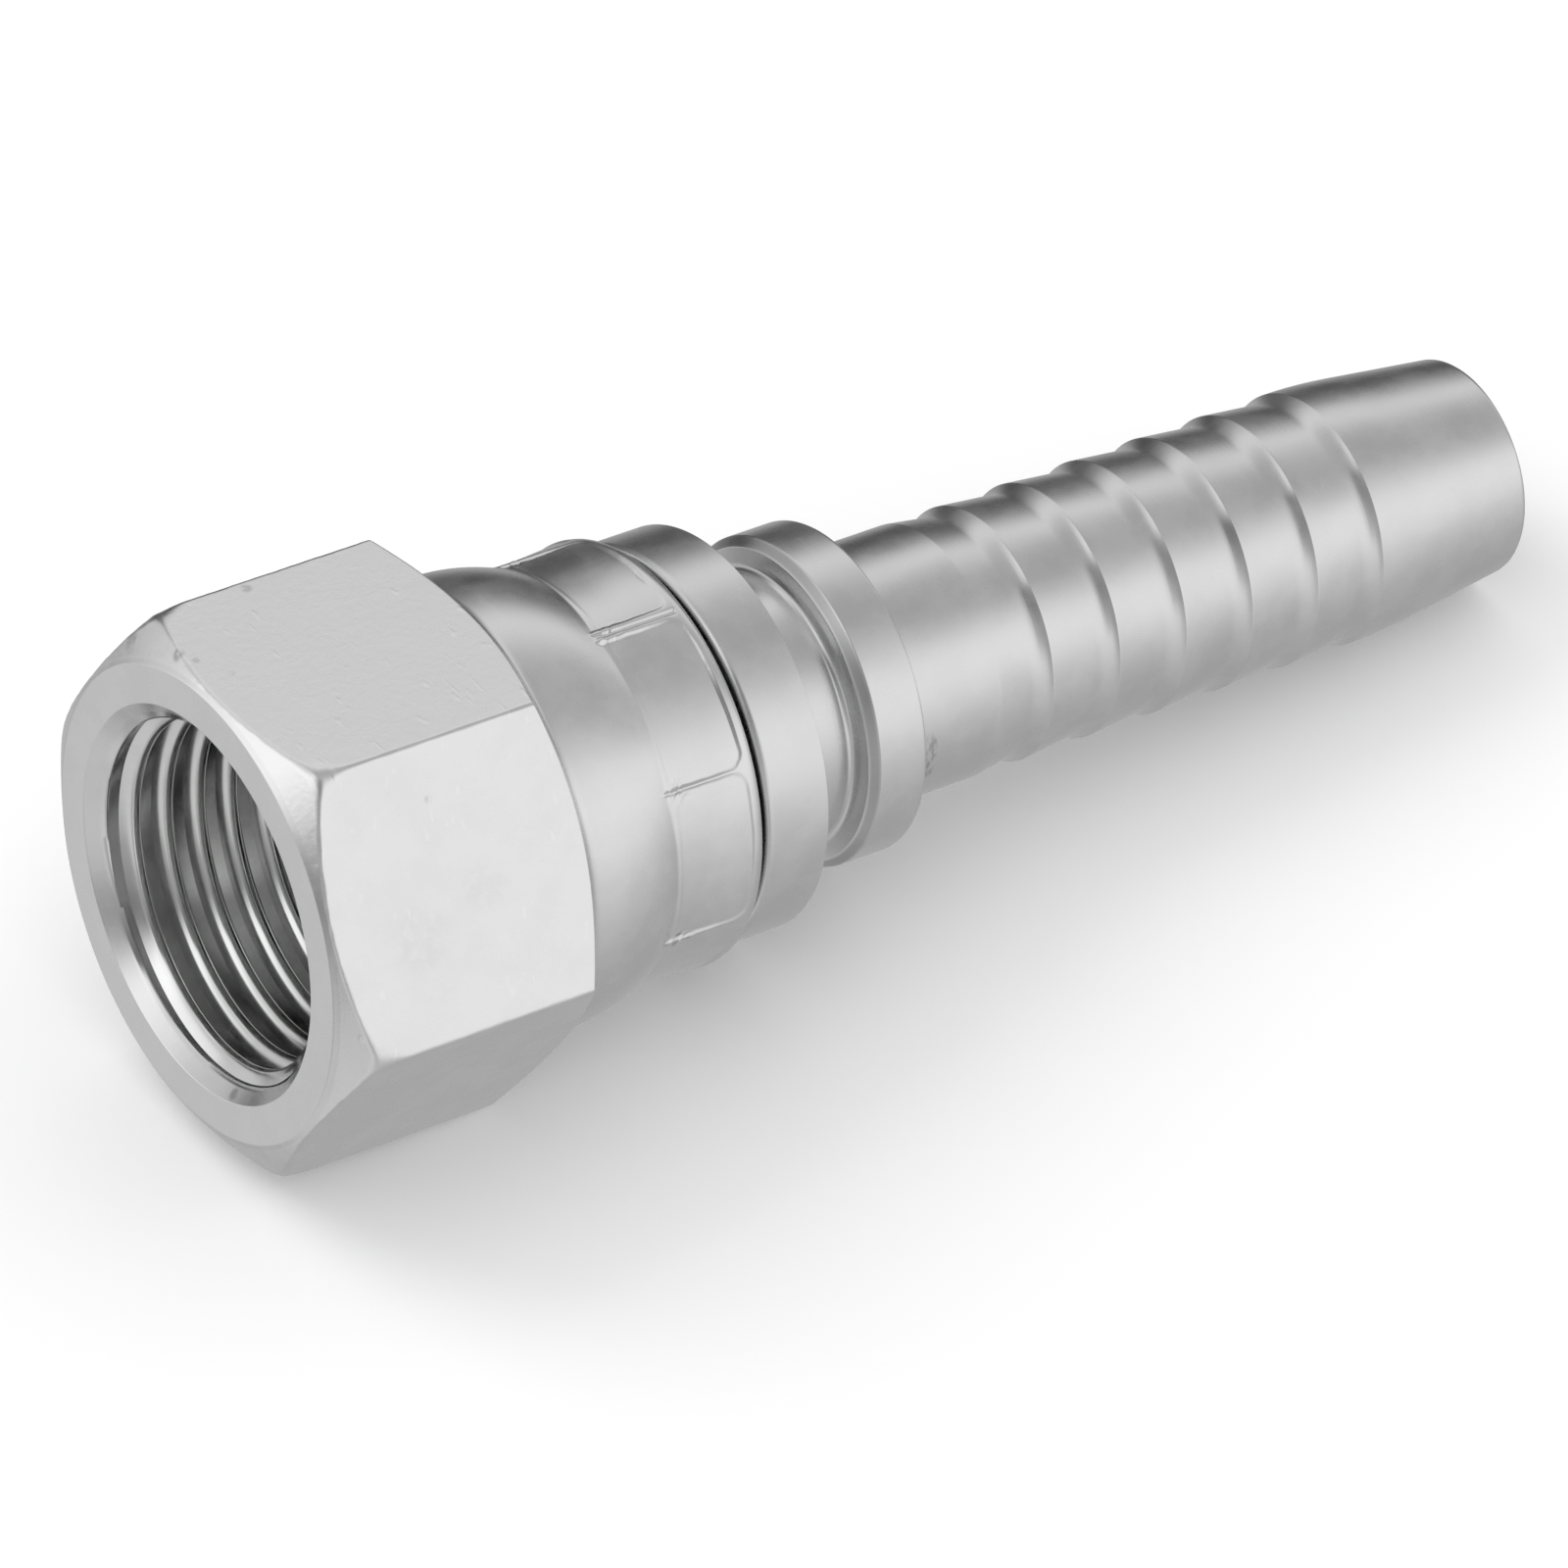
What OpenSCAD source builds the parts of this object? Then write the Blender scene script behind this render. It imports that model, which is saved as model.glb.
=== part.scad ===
// Swivel hose tail for a 3/8 inch hydraulic hose, zinc plated steel, lengths in millimetres.
//
// Two turned pieces. The tail is one bar part: a head with a 37 degree seat, a neck, two collars
// with the ferrule's groove between them, and a barbed spigot. The hexagon nut slides over the
// head from behind, and its skirt is then pressed down behind the head in eight dies, so the nut
// spins but can't come off.
//
// The axis of both is X. X = 0 is where the nut's thread starts, behind its countersunk mouth,
// and +X runs to the spigot's tip. One flat of the hexagon faces straight up, towards +Z.

/* [Nut hexagon] */
// Width across the flats
hex_flats = 19; // [18.6:0.1:21]
// Length from the front face to the rear end of a flat, measured along its middle
hex_length = 11.1; // [9.8:0.1:12]
// Angle of the chamfers on the hexagon's corners, front and rear
hex_chamfer_angle = 30; // [20:1:35]
// How far the round edge of the front face lies inside the flats
face_inset = 0.3; // [0.1:0.1:0.6]
// Whole length of the nut, front face to skirt end
nut_length = 19.6; // [18.6:0.1:22]

/* [Nut thread and mouth] */
// Major diameter of the 9/16 inch thread
thread_major = 14.2875; // [14.2:0.0125:14.4]
// Pitch of the thread, 18 to the inch
thread_pitch = 1.411; // [1:0.001:1.6]
// Length of the threaded wall
thread_length = 7.8; // [6.5:0.1:8.8]
// Diameter of the 45 degree countersink at the front face
mouth_d = 15.4; // [15:0.1:16.4]

/* [Nut neck and crimped skirt] */
// Largest diameter of the barrel behind the hexagon
neck_d = 17.7; // [17.3:0.1:18.3]
// Radius of the barrel's lengthwise curve
neck_curve = 7.4; // [6.4:0.2:14]
// Distance from the rear end of the flats to the barrel's fullest place
neck_crown = 1.55; // [1:0.05:2.1]
// Length of the crimped skirt, crease to end
skirt_length = 3.85; // [3.5:0.05:4.6]
// Diameter over the raised seams that the dies leave between them
skirt_d = 16.7; // [16.3:0.1:17.2]
// Rounding of the skirt's end
skirt_round = 0.5; // [0.2:0.1:0.7]
// Number of crimping dies
die_count = 8; // [6:1:12]
// Radius of a die's face, which is a little flatter than the skirt
die_radius = 9.5; // [8.8:0.1:12.6]
// How deep the middle of a die's print lies below the seams
die_depth = 0.18; // [0.1:0.02:0.26]
// Width of the seam left between two prints
seam_width = 0.32; // [0.12:0.04:0.6]
// Plain ring left behind the prints
print_margin = 0.8; // [0.6:0.05:1.1]
// Corner radius at the rear of each print
print_corner = 0.6; // [0.3:0.05:0.85]
// Angle of the first seam from the middle of a flat
crimp_turn = 13; // [0:1:44]

/* [Swivel fit] */
// Radial running clearance of head and neck in the nut
swivel_clear = 0.15; // [0.1:0.05:0.3]
// End clearance of the head, at its shoulder and in front of it
end_clear = 0.2; // [0.1:0.05:0.4]
// Open gap between the skirt's end and the first collar
skirt_gap = 0.3; // [0.2:0.05:0.9]

/* [Tail head and bore] */
// Diameter of the head inside the nut
head_d = 13.8; // [13.4:0.1:14.2]
// Diameter of the neck that the skirt closes round
tail_neck_d = 11.8; // [10.8:0.1:12.6]
// Half angle of the sealing seat
seat_angle = 37; // [30:1:45]
// Diameter of the seat at the head's front face
seat_d = 12.4; // [11.6:0.1:13.2]
// Diameter of the flow bore
flow_bore_d = 7; // [6:0.1:7.4]

/* [Tail collars] */
// Diameter of the first collar
collar_d = 15.8; // [14.2:0.1:17]
// Length of the first collar
collar_length = 2.75; // [2.1:0.05:4.2]
// Rounding of the first collar's front corner
collar_round = 0.3; // [0.1:0.05:0.6]
// Diameter at the bottom of the ferrule's groove
groove_d = 10.5; // [9.9:0.1:11.6]
// Width of the ferrule's groove
groove_width = 3; // [2.4:0.1:4.2]
// Fillets in the groove's corners
groove_fillet = 0.3; // [0.1:0.05:0.5]
// Diameter of the second collar, which stops the hose
stop_d = 13; // [12.4:0.1:14.8]
// Length of the second collar
stop_length = 2.45; // [1.4:0.05:4.2]
// Chamfer on the second collar's front edge
stop_chamfer = 0.25; // [0.1:0.05:0.5]

/* [Tail spigot] */
// Diameter over the plain length and over the barbs
spigot_d = 10.1; // [9.6:0.1:10.5]
// Plain length behind the second collar
plain_length = 4.45; // [3:0.05:5.2]
// Distance from the second collar to the first barb's crest
first_barb = 6.9; // [6.8:0.1:8.4]
// Number of barbs
barb_count = 6; // [3:1:8]
// Distance from crest to crest
barb_pitch = 3.1; // [2.4:0.1:4.2]
// Depth of the valleys between crests
barb_depth = 0.23; // [0.14:0.01:0.35]
// Radius of the hollow face under each crest, on the nut's side
barb_hollow = 1.4; // [0.8:0.1:2.1]
// Length of the land left on top of each crest
crest_land = 0.06; // [0.04:0.02:0.3]
// Length from the last crest to the tip
nose_length = 7.4; // [5.6:0.1:9.8]
// Slope of the tip's taper
nose_angle = 6.85; // [4:0.05:8]
// Radius that blends the taper into the last barb
nose_blend = 22; // [8:1:28]
// Rounding of the tip's outer edge
tip_round = 0.25; // [0.1:0.05:0.35]
// Chamfer of the flow bore at the tip
tip_chamfer = 0.2; // [0.1:0.05:0.3]

/* [Hidden] */

// How far cutters and joined lengths run past a face
past = 1;
zinc = [0.74, 0.75, 0.75];
$fn = 128;

// Nut radii
hex_flat_r = hex_flats / 2;
hex_corner_r = hex_flat_r / cos(30);
face_r = hex_flat_r - face_inset;
thread_r = (thread_major - 1.0825 * thread_pitch) / 2;
mouth_r = mouth_d / 2;
neck_r = neck_d / 2;
skirt_r = skirt_d / 2;
tail_neck_r = tail_neck_d / 2;
head_r = head_d / 2;
chamber_r = head_r + swivel_clear;
skirt_bore_r = tail_neck_r + swivel_clear;

// Nut stations
nut_face = -(mouth_r - thread_r);
thread_end = thread_length;
hex_rear = nut_face + hex_length;
rear_fall = (hex_flat_r - neck_r + past) * tan(hex_chamfer_angle);
skirt_end = nut_face + nut_length;
crease = skirt_end - skirt_length;
chamber_cone = crease - (chamber_r - skirt_bore_r);

// Tail radii
collar_r = collar_d / 2;
groove_r = groove_d / 2;
stop_r = stop_d / 2;
spigot_r = spigot_d / 2;
valley_r = spigot_r - barb_depth;
seat_r = seat_d / 2;
flow_r = flow_bore_d / 2;

// Tail stations
head_front = thread_end + abs(chamber_r - thread_r) + end_clear;
head_shoulder = chamber_cone - end_clear;
collar_front = skirt_end + skirt_gap;
groove_front = collar_front + collar_length;
groove_rear = groove_front + groove_width;
hose_stop = groove_rear + stop_length;
hollow_run = sqrt(2 * barb_hollow * barb_depth - barb_depth * barb_depth);
last_crest = barb_crest(barb_count - 1);
taper_start = last_crest + nose_blend * sin(nose_angle);
taper_r = spigot_r - nose_blend * (1 - cos(nose_angle));
tip = last_crest + nose_length;
tip_r = taper_r - (tip - taper_start) * tan(nose_angle);

// Station of one barb's crest, counted from the nut's side
function barb_crest(i) = hose_stop + first_barb + i * barb_pitch;

// Turned outlines are drawn as [radius, station], and these two modules lay them along X
module along_x() {
    rotate([0, 90, 0]) children();
}

module turned() {
    along_x() rotate_extrude() children();
}

// A length of round bar from one station to another
module bar(from, to, r) {
    polygon([[0, from], [r, from], [r, to], [0, to]]);
}

// What a rounded corner at radius r and station x loses. side is 1 where the bar follows the corner
module corner_loss(r, x, round, side) {
    difference() {
        translate([r - round, side > 0 ? x - past : x - round]) square([round + past, round + past]);
        translate([r - round, x + side * round]) circle(round);
    }
}

// A fillet between a bar of radius r and the face at station x. side is 1 where the bar follows the face
module face_fillet(r, x, fillet, side) {
    difference() {
        translate([r, side > 0 ? x : x - fillet]) square(fillet);
        translate([r + fillet, x + side * fillet]) circle(fillet);
    }
}

// The cone that chamfers both ends of the hexagon
module hex_turning() {
    reach = hex_corner_r + past;
    front_rise = (reach - face_r) * tan(hex_chamfer_angle);
    rear_rise = (reach - hex_flat_r) * tan(hex_chamfer_angle);
    polygon([
        [0, nut_face],
        [face_r, nut_face],
        [reach, nut_face + front_rise],
        [reach, hex_rear - rear_rise],
        [neck_r - past, hex_rear + rear_fall],
        [0, hex_rear + rear_fall]
    ]);
}

// The barrel behind the hexagon: a length of a circle whose fullest place is the crown
module barrel_outline() {
    crown = hex_rear + neck_crown;
    intersection() {
        bar(hex_rear - past, crease, neck_r);
        translate([neck_r - neck_curve, crown]) circle(neck_curve);
    }
    bar(hex_rear - past, crease, skirt_r - die_depth);
}

module skirt_outline() {
    difference() {
        bar(crease - past, skirt_end, skirt_r);
        corner_loss(skirt_r, skirt_end, skirt_round, -1);
    }
}

// Mouth, thread core, head chamber, the cone that the crimp makes and the closed skirt's bore
module nut_bore() {
    polygon([
        [0, nut_face - past],
        [mouth_r + past, nut_face - past],
        [thread_r, 0],
        [thread_r, thread_end],
        [chamber_r, thread_end + abs(chamber_r - thread_r)],
        [chamber_r, chamber_cone],
        [skirt_bore_r, crease],
        [skirt_bore_r, skirt_end + past],
        [0, skirt_end + past]
    ]);
}

// One die's print: a window with round rear corners, cut down to the die's face
module die_print() {
    half_width = skirt_r * sin(180 / die_count) - seam_width / 2;
    print_end = skirt_end - print_margin;
    low = skirt_r * cos(180 / die_count) - past;
    difference() {
        translate([low, 0, 0]) rotate([0, 90, 0]) rotate([0, 0, 90])
            linear_extrude(skirt_r + past - low)
                union() {
                    translate([-half_width, crease]) square([2 * half_width, print_end - print_corner - crease]);
                    translate([print_corner - half_width, crease])
                        square([2 * (half_width - print_corner), print_end - crease]);
                    for (side = [-1, 1])
                        translate([side * (half_width - print_corner), print_end - print_corner])
                            circle(print_corner);
                }
        translate([skirt_r - die_depth - die_radius, 0, crease - past])
            cylinder(h = skirt_length + 2 * past, r = die_radius);
    }
}

module hose_tail() {
    color(zinc) turned() difference() {
        union() {
            // Head with its shoulder, then the neck inside the nut's skirt
            polygon([
                [0, head_front],
                [head_r, head_front],
                [head_r, head_shoulder],
                [tail_neck_r, head_shoulder + head_r - tail_neck_r],
                [tail_neck_r, collar_front + past],
                [0, collar_front + past]
            ]);
            difference() {
                bar(collar_front, groove_front, collar_r);
                corner_loss(collar_r, collar_front, collar_round, 1);
            }
            bar(groove_front, groove_rear, groove_r);
            face_fillet(groove_r, groove_front, groove_fillet, 1);
            face_fillet(groove_r, groove_rear, groove_fillet, -1);
            // Second collar, chamfered towards the groove
            polygon([
                [0, groove_rear],
                [stop_r - stop_chamfer, groove_rear],
                [stop_r, groove_rear + stop_chamfer],
                [stop_r, hose_stop],
                [0, hose_stop]
            ]);
            bar(hose_stop, hose_stop + plain_length, spigot_r);
            for (i = [0:barb_count - 1]) barb(i);
            nose();
        }
        flow_bore();
    }
}

// One barb: a long ramp down from the crest before it, then a hollow face up to its own crest
module barb(i) {
    ramp_start = i == 0 ? hose_stop + plain_length : barb_crest(i - 1);
    hollow = barb_crest(i) - crest_land - hollow_run;
    polygon([[0, ramp_start], [spigot_r, ramp_start], [valley_r, hollow], [0, hollow]]);
    difference() {
        bar(hollow, barb_crest(i), spigot_r);
        translate([valley_r + barb_hollow, hollow]) circle(barb_hollow);
    }
}

// The tapered tip, which starts with a slow curve and ends in a rounded edge
module nose() {
    intersection() {
        bar(last_crest, taper_start + past, spigot_r);
        translate([spigot_r - nose_blend, last_crest]) circle(nose_blend, $fn = 720);
    }
    difference() {
        polygon([[0, taper_start], [taper_r, taper_start], [tip_r, tip], [0, tip]]);
        corner_loss(tip_r, tip, tip_round, -1);
    }
}

// Seat cone, through bore and the small chamfer at the tip
module flow_bore() {
    seat_depth = (seat_r - flow_r) / tan(seat_angle);
    mouth = seat_r + past * tan(seat_angle);
    polygon([
        [0, head_front - past],
        [mouth, head_front - past],
        [flow_r, head_front + seat_depth],
        [flow_r, tip - tip_chamfer],
        [flow_r + tip_chamfer + past, tip + past],
        [0, tip + past]
    ]);
}

module swivel_nut() {
    color(zinc) difference() {
        union() {
            intersection() {
                along_x() translate([0, 0, nut_face]) rotate([0, 0, 30])
                    cylinder(h = hex_length + rear_fall, r = hex_corner_r, $fn = 6);
                turned() hex_turning();
            }
            turned() {
                barrel_outline();
                skirt_outline();
            }
        }
        turned() nut_bore();
        along_x() for (i = [0:die_count - 1])
            rotate([0, 0, crimp_turn + (i + 0.5) * 360 / die_count]) die_print();
    }
}

hose_tail();
swivel_nut();
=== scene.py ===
# %% [markdown]
# # A swivel hose tail in zinc plated steel
#
# The object is a hydraulic hose fitting: a turned tail with a barbed spigot, and a hexagon nut that was
# crimped on behind the tail's head, so that it spins but stays on. Each of the two pieces becomes one
# closed mesh, from a lathe outline carried round the axis, and both get the same satin zinc finish in
# their own shade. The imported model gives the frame: every length below is in millimetres along the
# fitting's axis, X.

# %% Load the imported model
import math

import bmesh
import bpy
from mathutils import Matrix, Vector


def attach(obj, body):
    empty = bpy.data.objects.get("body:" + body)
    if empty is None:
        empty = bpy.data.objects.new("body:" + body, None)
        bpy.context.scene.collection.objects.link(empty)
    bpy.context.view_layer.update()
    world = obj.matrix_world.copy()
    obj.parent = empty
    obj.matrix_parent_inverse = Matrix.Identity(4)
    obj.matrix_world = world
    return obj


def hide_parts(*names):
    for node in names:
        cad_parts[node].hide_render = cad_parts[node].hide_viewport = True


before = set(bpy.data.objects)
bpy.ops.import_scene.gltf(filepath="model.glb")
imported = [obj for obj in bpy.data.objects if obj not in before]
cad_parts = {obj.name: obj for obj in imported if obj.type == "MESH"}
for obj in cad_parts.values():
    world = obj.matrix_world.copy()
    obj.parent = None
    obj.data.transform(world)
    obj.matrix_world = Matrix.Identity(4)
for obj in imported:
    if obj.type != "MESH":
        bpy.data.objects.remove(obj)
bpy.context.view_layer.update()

# %% [markdown]
# ## Stations, radii and angles
#
# The fitting is a 19 mm hexagon with a 9/16 inch thread and a spigot for a 3/8 inch hose. Lengths are
# stations along the axis, as on a workshop drawing, and X = 0 is where the nut's thread wall starts.
# Widths are radii. Angles run round the axis from straight up, towards the camera's side. The numbers
# could be typed where they are used, but a name says what is measured, and a change then reaches every
# place. Only the sizes that more than one step needs stand here, and the others come with the piece that
# they shape.

# %% Sizes in millimetres that everything shares
MM = 0.001
nut_face = -1.32
hex_flat = 9.5
hex_rear = 9.78
tip = 56.58
tip_round = 0.25
print("whole length", round(tip - nut_face, 2), "mm")

# %% [markdown]
# ## The camera
#
# The photograph was taken from well back with a long lens, so the fitting shows hardly any perspective. A
# camera could be placed by eye, but this one was fitted to the hexagon's edges and the round edges. It
# stands in front of the nut's mouth, to one side and above. It is level over the floor, and the floor is
# tilted under the fitting, because the thin tail comes down until its tip touches.

# %% Camera at the photograph's viewing angle
tip_touch = 4.32
rest_tilt = math.atan((hex_flat - tip_touch) / (tip - tip_round - hex_rear))
floor_normal = Vector((-math.sin(rest_tilt), 0, math.cos(rest_tilt)))
camera_place = Vector((-209.73, -293.89, 291.57)) * MM
camera_aim = Vector((21.95, -4.15, 0)) * MM
camera_roll = math.radians(0.24)
film_width = 36
lens_length = 291.41


def make_camera():
    """A long lens that is level over the tilted floor and then rolled a little."""
    lens = bpy.data.cameras.new("studio_camera")
    lens.sensor_width = film_width
    lens.lens = lens_length
    lens.clip_start = 0.01
    lens.clip_end = 10
    camera = bpy.data.objects.new("studio_camera", lens)
    bpy.context.scene.collection.objects.link(camera)
    back = (camera_place - camera_aim).normalized()
    side = floor_normal.cross(back).normalized()
    up = back.cross(side)
    level = Matrix((side, up, back)).transposed().to_4x4()
    camera.matrix_world = Matrix.Translation(camera_place) @ level @ Matrix.Rotation(camera_roll, 4, "Z")
    bpy.context.scene.camera = camera
    return camera


camera = make_camera()
print("camera", [round(v / MM) for v in camera.location])
print("floor tilt", round(math.degrees(rest_tilt), 2), "degrees")

# %% [markdown]
# ## Three small helpers
#
# A material is a net of nodes, and a new object isn't seen until it is linked to the scene. Both could be
# done by hand in the editors. Here they take the same few lines each time, so they are helpers, and the
# rest of the script only says what each node and each object is for.

# %% Helpers for materials and objects
def new_material(name):
    """An empty material, with its nodes and links at hand."""
    material = bpy.data.materials.new(name)
    material.use_nodes = True
    material.node_tree.nodes.clear()
    return material, material.node_tree.nodes, material.node_tree.links


def add_node(nodes, kind, **settings):
    """One node, with its menus set."""
    node = nodes.new(kind)
    for name, value in settings.items():
        setattr(node, name, value)
    return node


def link_object(name, mesh_or_lamp):
    """An object in the scene that shows a mesh or a lamp."""
    thing = bpy.data.objects.new(name, mesh_or_lamp)
    bpy.context.scene.collection.objects.link(thing)
    return thing


print("helpers", new_material.__name__, add_node.__name__, link_object.__name__)

# %% [markdown]
# ## The studio
#
# The fitting lies on white paper in an even white room, and one soft lamp behind it gives a gentle
# shadow. The room could be built from walls and cards. A plain white world at strength 1 does the same
# for the paper, and it keeps every colour about as bright as it is written.

# %% White room, floor and key lamp
floor_half = 2.0
paper_white = 0.95
lamp_place = Vector((-190, 260, 330)) * MM
lamp_aim = Vector((25, 0, -5)) * MM


def make_room():
    """A white world, plain in every direction."""
    world = bpy.data.worlds.new("white_room")
    world.use_nodes = True
    background = world.node_tree.nodes["Background"]
    background.inputs["Color"].default_value = (1, 1, 1, 1)
    background.inputs["Strength"].default_value = 1
    bpy.context.scene.world = world


def make_floor():
    """A large sheet under the hexagon's lower flat, tilted so that the tip rests on it too."""
    corners = [(x * floor_half, y * floor_half, 0) for x, y in ((-1, -1), (1, -1), (1, 1), (-1, 1))]
    mesh = bpy.data.meshes.new("studio_floor")
    mesh.from_pydata(corners, [], [(0, 1, 2, 3)])
    floor = link_object("studio_floor", mesh)
    tilt = Matrix.Rotation(-rest_tilt, 4, "Y")
    floor.matrix_world = Matrix.Translation(Vector((hex_rear, 0, -hex_flat)) * MM) @ tilt
    material, nodes, links = new_material("floor_white")
    paper = add_node(nodes, "ShaderNodeBsdfDiffuse")
    paper.inputs["Color"].default_value = (paper_white, paper_white, paper_white, 1)
    output = add_node(nodes, "ShaderNodeOutputMaterial")
    links.new(paper.outputs["BSDF"], output.inputs["Surface"])
    mesh.materials.append(material)
    return floor


def make_key_lamp():
    """One soft round lamp behind the fitting, aimed at its middle."""
    light = bpy.data.lights.new("key_lamp", "AREA")
    light.shape = "DISK"
    light.size = 0.26
    light.energy = 0.42
    lamp = link_object("key_lamp", light)
    lamp.location = lamp_place
    lamp.rotation_euler = (lamp_aim - lamp_place).to_track_quat("-Z", "Y").to_euler()
    return lamp


make_room()
floor = make_floor()
key_lamp = make_key_lamp()
print("floor normal", [round(v, 3) for v in floor_normal], "key lamp", key_lamp.data.energy, "W")

# %% [markdown]
# ### How bright the tent is in each direction
#
# Satin metal has hardly a colour of its own: it shows a blurred room. An all white room would leave it
# flat, so in a studio it lies in a tent of cloth with light and dark in it. On a cylinder each direction
# of the tent becomes a band along the metal, and the bands in the photograph say how bright the tent must
# be at each angle. A pair is an angle in degrees and a brightness. The nut's face, its chamfers and the
# thread look out of the mouth, so the front of the tent has lists of its own. For the two in the middle
# of it, the first number of a pair isn't an angle but how far a direction points up and back, from -1 to
# 1.

# %% Brightness round the tent
back_half = [
    (-180, 0.46), (-161, 0.46), (-150, 0.48), (-137, 0.52), (-121, 0.52), (-112, 0.47), (-105, 0.29),
    (-98, 0.12), (-90, 0.08), (-81, 0.10), (-73, 0.165), (-65, 0.26), (-57, 0.48), (-49, 0.80),
    (-41, 0.94), (-33, 0.88), (-25, 0.68), (-17, 0.57), (-8, 0.50), (8, 0.48), (18, 0.51), (31, 0.67),
    (47, 0.96), (56, 1.04), (74, 1.04), (87, 0.96), (103, 0.78), (119, 0.65), (140, 0.52), (160, 0.48),
    (180, 0.46),
]
lens_side = [
    (-180, 1.2), (12, 1.2), (24, 0.17), (40, 0.24), (58, 0.38), (74, 0.6), (92, 1.2), (180, 1.2),
]
front_panel = [
    (-180, 0.70), (-60, 0.70), (-15, 0.86), (0, 1.05), (30, 1.05), (50, 0.66), (68, 0.36), (95, 0.50),
    (112, 0.50), (130, 0.52), (150, 0.64), (165, 0.70), (180, 0.70),
]
mouth_side = [
    (-1, 0.76), (-0.5, 0.72), (-0.42, 0.60), (-0.3, 0.44), (-0.14, 0.38), (-0.03, 0.38), (0.05, 0.50),
    (0.15, 0.85), (0.24, 1.15), (0.4, 1.3), (0.5, 1.2), (0.65, 1.0), (1, 0.7),
]
opposite_mouth = [
    (-0.4, 0.4), (-0.22, 0.38), (-0.12, 0.28), (0, 0.24), (0.08, 0.45), (0.15, 0.8), (0.24, 1.4),
    (0.4, 1.4),
]
up_and_back = (0, 0.75, 0.66)
print(len(back_half), "stops along the tail,", len(lens_side), "round the lens")
print(len(front_panel), "in front,", len(mouth_side), "and", len(opposite_mouth), "at the mouth")

# %% [markdown]
# ### From a list to cloth
#
# A list becomes a colour ramp on a glowing material. An image could paint the same tent, but ramps stay
# readable and can be changed stop by stop. Where one part of the tent passes into the next, a soft share
# keeps the seam from showing in the metal.

# %% Ramps and soft seams
def brightness_ramp(nodes, links, value, stops):
    """Brightness that follows a value through the stops, which are pairs of value and brightness."""
    low, high = stops[0][0], stops[-1][0]
    spread = add_node(nodes, "ShaderNodeMapRange")
    spread.inputs["From Min"].default_value = low
    spread.inputs["From Max"].default_value = high
    links.new(value, spread.inputs["Value"])
    ramp = add_node(nodes, "ShaderNodeValToRGB")
    while len(ramp.color_ramp.elements) < len(stops):
        ramp.color_ramp.elements.new(0.5)
    for element, (where, level) in zip(ramp.color_ramp.elements, stops):
        element.position = (where - low) / (high - low)
        element.color = (level, level, level, 1)
    links.new(spread.outputs["Result"], ramp.inputs["Fac"])
    return ramp.outputs["Color"]


def share_between(nodes, links, value, low, high):
    """Climbs softly from 0 to 1 while a value goes from low to high."""
    share = add_node(nodes, "ShaderNodeMapRange", interpolation_type="SMOOTHSTEP")
    share.inputs["From Min"].default_value = low
    share.inputs["From Max"].default_value = high
    links.new(value, share.inputs["Value"])
    return share.outputs["Result"]


def laid_over(nodes, links, share, under, over, kind):
    """One cloth over another where the share is 1, replacing it or only darkening it."""
    mix = add_node(nodes, "ShaderNodeMix", data_type="RGBA", blend_type=kind)
    links.new(share, mix.inputs["Factor"])
    links.new(under, mix.inputs["A"])
    links.new(over, mix.inputs["B"])
    return mix.outputs["Result"]


print("a ramp holds at most 32 stops, the longest list has", len(back_half))

# %% [markdown]
# ### Which way the cloth lies
#
# Every point of the tent's cloth is seen in one direction from the fitting. Degrees round the axis serve
# for the bands along the tail, and two shares from -1 to 1 say how far a direction points out of the
# mouth, and how far up and back. The sphere could be unwrapped instead, but then a seam and two poles
# could show. The object's own coordinates give all three numbers, and nothing in them depends on the
# camera.

# %% Directions in the tent
def turned_about(nodes, links, value):
    """The same number with its sign changed."""
    flip = add_node(nodes, "ShaderNodeMath", operation="MULTIPLY")
    flip.inputs[1].default_value = -1
    links.new(value, flip.inputs[0])
    return flip.outputs["Value"]


def tent_directions(nodes, links):
    """Degrees round the axis, share out of the mouth, and share up and back, of each direction."""
    place = add_node(nodes, "ShaderNodeTexCoord")
    direction = add_node(nodes, "ShaderNodeVectorMath", operation="NORMALIZE")
    links.new(place.outputs["Object"], direction.inputs[0])
    axes = add_node(nodes, "ShaderNodeSeparateXYZ")
    links.new(direction.outputs["Vector"], axes.inputs["Vector"])
    turn = add_node(nodes, "ShaderNodeMath", operation="ARCTAN2")
    links.new(turned_about(nodes, links, axes.outputs["Y"]), turn.inputs[0])
    links.new(axes.outputs["Z"], turn.inputs[1])
    around = add_node(nodes, "ShaderNodeMath", operation="DEGREES")
    links.new(turn.outputs["Value"], around.inputs[0])
    height = add_node(nodes, "ShaderNodeVectorMath", operation="DOT_PRODUCT")
    height.inputs[1].default_value = up_and_back
    links.new(direction.outputs["Vector"], height.inputs[0])
    directions = {"around": around.outputs["Value"], "up_and_back": height.outputs["Value"]}
    return directions, turned_about(nodes, links, axes.outputs["X"])


print("up and back is the direction", up_and_back)

# %% [markdown]
# ### The light tent
#
# Cloth and cards could be modelled one by one, but one sphere whose cloth is brighter in some directions
# is easier to adjust. It starts from the list along the tail, and each zone of the front is laid over it
# where a direction points far enough out of the mouth. The lens side only darkens, as a black card does.
# The sphere shows in reflections alone, so it throws no shadow and adds no light to the paper. The paper
# and the lamp stay out of the reflections, because the tent stands for both of them there.

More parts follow.
